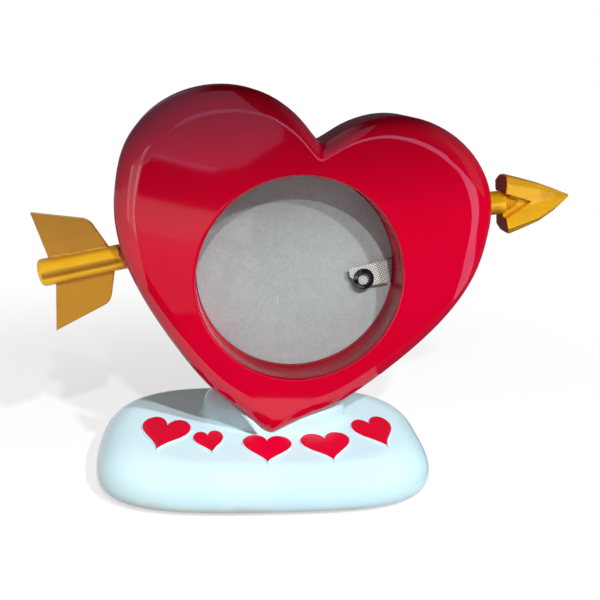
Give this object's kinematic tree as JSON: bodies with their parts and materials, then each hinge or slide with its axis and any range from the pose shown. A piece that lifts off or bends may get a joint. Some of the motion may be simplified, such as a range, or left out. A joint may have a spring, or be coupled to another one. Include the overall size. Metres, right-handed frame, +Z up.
{
  "type": "heart photo frame",
  "caption": "Standing photo frame: a glossy heart with a round photo recess, pierced by an arrow, on a rounded pillow base; the clear cover lifts out by a ribbon tab.",
  "frame": {"origin": "centre of the flat underside of the base", "axes": "+X to the viewer's right and along the arrow towards its head, +Y away from the viewer, +Z up"},
  "size_m": [0.2114, 0.0771, 0.1595],
  "materials": {
    "red_resin": "gloss",
    "white_resin": "gloss",
    "gold_paint": "satin",
    "felt": "matt",
    "steel": "zinc plated",
    "foam": "matt",
    "grey_card": "matt, mottled",
    "clear_acrylic": "clear, polished",
    "white_ribbon": "woven",
    "black_enamel": "gloss"
  },
  "bodies": {
    "frame": {"heart_body": "red_resin", "base_body": "white_resin", "felt_pad": "felt", "anchor_screw": "steel", "anchor_washer": "steel", "backing_pad": "foam", "tail_shaft": "gold_paint", "upper_vane": "gold_paint", "lower_vane": "gold_paint", "head_shaft": "gold_paint", "arrow_head": "gold_paint", "tail_pin": "steel", "head_pin": "steel"},
    "photo_pack": {"clear_cover": "clear_acrylic", "photo_card": "grey_card", "pull_ribbon": "white_ribbon"},
    "pull_tab": {"ribbon_flap": "white_ribbon", "eyelet_ring": "black_enamel", "eyelet_washer": "black_enamel"}
  },
  "joints": [
    {"name": "cover_slide", "type": "slide", "parent": "frame", "child": "photo_pack", "axis": [0, -1, 0], "range_m": [0, 0.03]},
    {"name": "tab_lift", "type": "hinge", "parent": "photo_pack", "child": "pull_tab", "pos_m": [0.04556, -0.00082, 0.09051], "axis": [-0.169, 0, 0.9856], "range_deg": [0, 90]}
  ]
}
